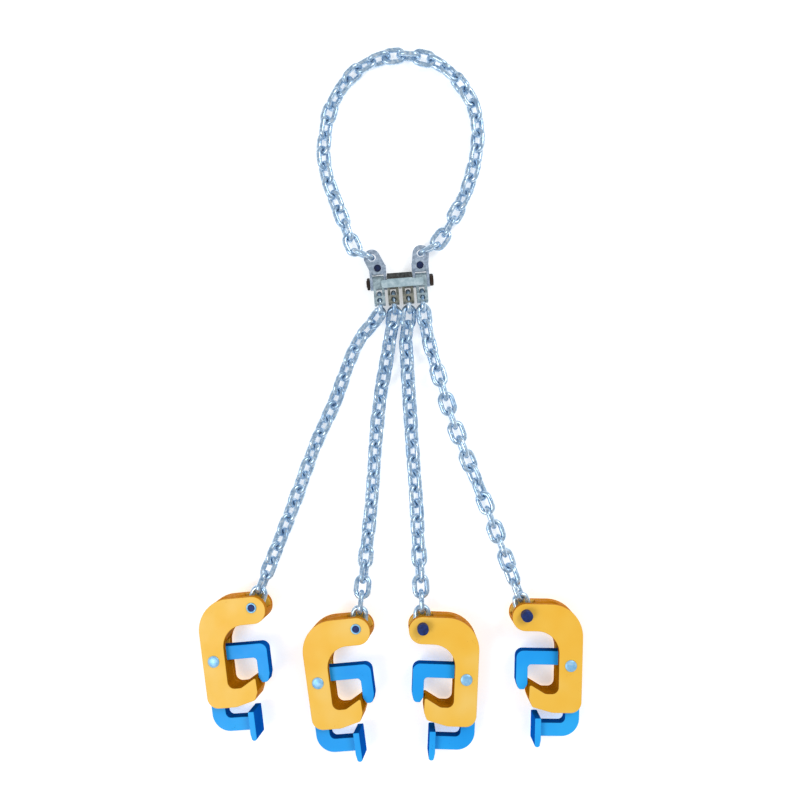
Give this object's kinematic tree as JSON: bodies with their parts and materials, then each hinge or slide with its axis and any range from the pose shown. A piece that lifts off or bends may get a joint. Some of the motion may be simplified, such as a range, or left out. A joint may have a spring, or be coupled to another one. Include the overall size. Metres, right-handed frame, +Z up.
{
  "type": "drum lifting chain sling",
  "caption": "Chain sling for lifting drums: a short loop of chain, a bolt with forked connectors, and legs of chain that each end in a clamp with a hooked lever.",
  "frame": {"origin": "on the surface that the sling lies on, under the middle of its bounding box", "axes": "+Y towards the lifting loop, away from the clamps; +X across the legs; +Z up"},
  "size_m": [0.5186, 0.9687, 0.0494],
  "materials": {
    "chain_steel": "bright zinc plate",
    "fitting_steel": "satin, cast and zinc plated",
    "band_steel": "satin",
    "dark_steel": "blackened",
    "yellow_enamel": "gloss enamel",
    "blue_enamel": "gloss enamel",
    "pivot_pin": "bright",
    "nose_pin": "blued"
  },
  "bodies": {
    "head": {"head_bolt": "dark_steel", "head_nut": "dark_steel", "head_band": "band_steel"},
    "loop": {"loop_connector_left": "fitting_steel", "loop_connector_pin_left": "dark_steel", "loop_end_link_left": "chain_steel", "loop_chain": "chain_steel", "loop_end_link_right": "chain_steel"},
    "loop_right": {"loop_connector_right": "fitting_steel", "loop_connector_pin_right": "dark_steel"},
    "leg_1_connector": {"leg_1_connector": "fitting_steel", "leg_1_link_pin": "dark_steel"},
    "leg_1_top_link": {"leg_1_top_link": "chain_steel"},
    "leg_1": {"leg_1_chain": "chain_steel", "leg_1_nose_link": "chain_steel"},
    "clamp_1": {"clamp_1_side_plate_front": "yellow_enamel", "clamp_1_side_plate_back": "yellow_enamel", "clamp_1_core_upper": "yellow_enamel", "clamp_1_core_jaw": "yellow_enamel", "clamp_1_pivot_pin": "pivot_pin", "clamp_1_nose_pin": "nose_pin"},
    "lever_1": {"clamp_1_lever": "blue_enamel"},
    "leg_2_connector": {"leg_2_connector": "fitting_steel", "leg_2_link_pin": "dark_steel"},
    "leg_2_top_link": {"leg_2_top_link": "chain_steel"},
    "leg_2": {"leg_2_chain": "chain_steel", "leg_2_nose_link": "chain_steel"},
    "clamp_2": {"clamp_2_side_plate_front": "yellow_enamel", "clamp_2_side_plate_back": "yellow_enamel", "clamp_2_core_upper": "yellow_enamel", "clamp_2_core_jaw": "yellow_enamel", "clamp_2_pivot_pin": "pivot_pin", "clamp_2_nose_pin": "nose_pin"},
    "lever_2": {"clamp_2_lever": "blue_enamel"},
    "leg_3_connector": {"leg_3_connector": "fitting_steel", "leg_3_link_pin": "dark_steel"},
    "leg_3_top_link": {"leg_3_top_link": "chain_steel"},
    "leg_3": {"leg_3_chain": "chain_steel", "leg_3_nose_link": "chain_steel"},
    "clamp_3": {"clamp_3_side_plate_front": "yellow_enamel", "clamp_3_side_plate_back": "yellow_enamel", "clamp_3_core_upper": "yellow_enamel", "clamp_3_core_jaw": "yellow_enamel", "clamp_3_pivot_pin": "pivot_pin", "clamp_3_nose_pin": "nose_pin"},
    "lever_3": {"clamp_3_lever": "blue_enamel"},
    "leg_4_connector": {"leg_4_connector": "fitting_steel", "leg_4_link_pin": "dark_steel"},
    "leg_4_top_link": {"leg_4_top_link": "chain_steel"},
    "leg_4": {"leg_4_chain": "chain_steel", "leg_4_nose_link": "chain_steel"},
    "clamp_4": {"clamp_4_side_plate_front": "yellow_enamel", "clamp_4_side_plate_back": "yellow_enamel", "clamp_4_core_upper": "yellow_enamel", "clamp_4_core_jaw": "yellow_enamel", "clamp_4_pivot_pin": "pivot_pin", "clamp_4_nose_pin": "nose_pin"},
    "lever_4": {"clamp_4_lever": "blue_enamel"}
  },
  "joints": [
    {"name": "loop_swing", "type": "hinge", "parent": "head", "child": "loop", "pos_m": [0.0121, 0.16428, 0.0122], "axis": [0.9971, 0.0755, 0], "range_deg": [0, 50]},
    {"name": "loop_right_swing", "type": "hinge", "parent": "head", "child": "loop_right", "pos_m": [0.0121, 0.16428, 0.0122], "axis": [0.9971, 0.0755, 0], "range_deg": [0, 50]},
    {"name": "leg_1_connector_swing", "type": "hinge", "parent": "head", "child": "leg_1_connector", "pos_m": [0.0121, 0.16428, 0.0122], "axis": [-0.9971, -0.0755, 0], "range_deg": [0, 20]},
    {"name": "leg_1_top_link_swing", "type": "hinge", "parent": "leg_1_connector", "child": "leg_1_top_link", "pos_m": [-0.01545, 0.14013, 0.0122], "axis": [-0.9971, -0.0755, 0], "range_deg": [0, 4]},
    {"name": "leg_1_spread", "type": "hinge", "parent": "leg_1_top_link", "child": "leg_1", "pos_m": [-0.01392, 0.11989, 0.0122], "axis": [0, 0, 1], "range_deg": [-17, 3]},
    {"name": "clamp_1_swing", "type": "hinge", "parent": "leg_1", "child": "clamp_1", "pos_m": [-0.1839, -0.27582, 0.02889], "axis": [-0.1416, -0.0174, 0.9898], "range_deg": [-10, 10]},
    {"name": "lever_1_open", "type": "hinge", "parent": "clamp_1", "child": "lever_1", "pos_m": [-0.23625, -0.35056, 0.02009], "axis": [-0.1416, -0.0174, 0.9898], "range_deg": [0, 16]},
    {"name": "leg_2_connector_swing", "type": "hinge", "parent": "head", "child": "leg_2_connector", "pos_m": [0.0121, 0.16428, 0.0122], "axis": [-0.9971, -0.0755, 0], "range_deg": [0, 20]},
    {"name": "leg_2_top_link_swing", "type": "hinge", "parent": "leg_2_connector", "child": "leg_2_top_link", "pos_m": [0.00369, 0.14158, 0.0122], "axis": [-0.9971, -0.0755, 0], "range_deg": [0, 4]},
    {"name": "leg_2_spread", "type": "hinge", "parent": "leg_2_top_link", "child": "leg_2", "pos_m": [0.00522, 0.12134, 0.0122], "axis": [0, 0, 1], "range_deg": [-3, 3]},
    {"name": "clamp_2_swing", "type": "hinge", "parent": "leg_2", "child": "clamp_2", "pos_m": [-0.0442, -0.30412, 0.02889], "axis": [-0.1414, -0.0189, 0.9898], "range_deg": [-10, 10]},
    {"name": "lever_2_open", "type": "hinge", "parent": "clamp_2", "child": "lever_2", "pos_m": [-0.09577, -0.3794, 0.02009], "axis": [-0.1414, -0.0189, 0.9898], "range_deg": [0, 16]},
    {"name": "leg_3_connector_swing", "type": "hinge", "parent": "head", "child": "leg_3_connector", "pos_m": [0.0121, 0.16428, 0.0122], "axis": [-0.9971, -0.0755, 0], "range_deg": [0, 20]},
    {"name": "leg_3_top_link_swing", "type": "hinge", "parent": "leg_3_connector", "child": "leg_3_top_link", "pos_m": [0.02383, 0.14311, 0.0122], "axis": [-0.9971, -0.0755, 0], "range_deg": [0, 4]},
    {"name": "leg_3_spread", "type": "hinge", "parent": "leg_3_top_link", "child": "leg_3", "pos_m": [0.02536, 0.12286, 0.0122], "axis": [0, 0, 1], "range_deg": [-3, 3]},
    {"name": "clamp_3_swing", "type": "hinge", "parent": "leg_3", "child": "clamp_3", "pos_m": [0.0426, -0.30512, 0.02114], "axis": [0.0209, -0.0008, 0.9998], "range_deg": [-10, 10]},
    {"name": "lever_3_open", "type": "hinge", "parent": "clamp_3", "child": "lever_3", "pos_m": [0.10152, -0.37534, 0.01985], "axis": [-0.0209, 0.0008, -0.9998], "range_deg": [0, 16]},
    {"name": "leg_4_connector_swing", "type": "hinge", "parent": "head", "child": "leg_4_connector", "pos_m": [0.0121, 0.16428, 0.0122], "axis": [-0.9971, -0.0755, 0], "range_deg": [0, 20]},
    {"name": "leg_4_top_link_swing", "type": "hinge", "parent": "leg_4_connector", "child": "leg_4_top_link", "pos_m": [0.04298, 0.14455, 0.0122], "axis": [-0.9971, -0.0755, 0], "range_deg": [0, 4]},
    {"name": "leg_4_spread", "type": "hinge", "parent": "leg_4_top_link", "child": "leg_4", "pos_m": [0.04451, 0.12431, 0.0122], "axis": [0, 0, 1], "range_deg": [-3, 25]},
    {"name": "clamp_4_swing", "type": "hinge", "parent": "leg_4", "child": "clamp_4", "pos_m": [0.182, -0.28752, 0.02114], "axis": [0.0209, -0.0004, 0.9998], "range_deg": [-10, 10]},
    {"name": "lever_4_open", "type": "hinge", "parent": "clamp_4", "child": "lever_4", "pos_m": [0.24225, -0.3566, 0.01985], "axis": [-0.0209, 0.0004, -0.9998], "range_deg": [0, 16]}
  ],
  "couplings": [
    {"joint": "loop_right_swing", "follows": "loop_swing", "ratio": 1}
  ]
}
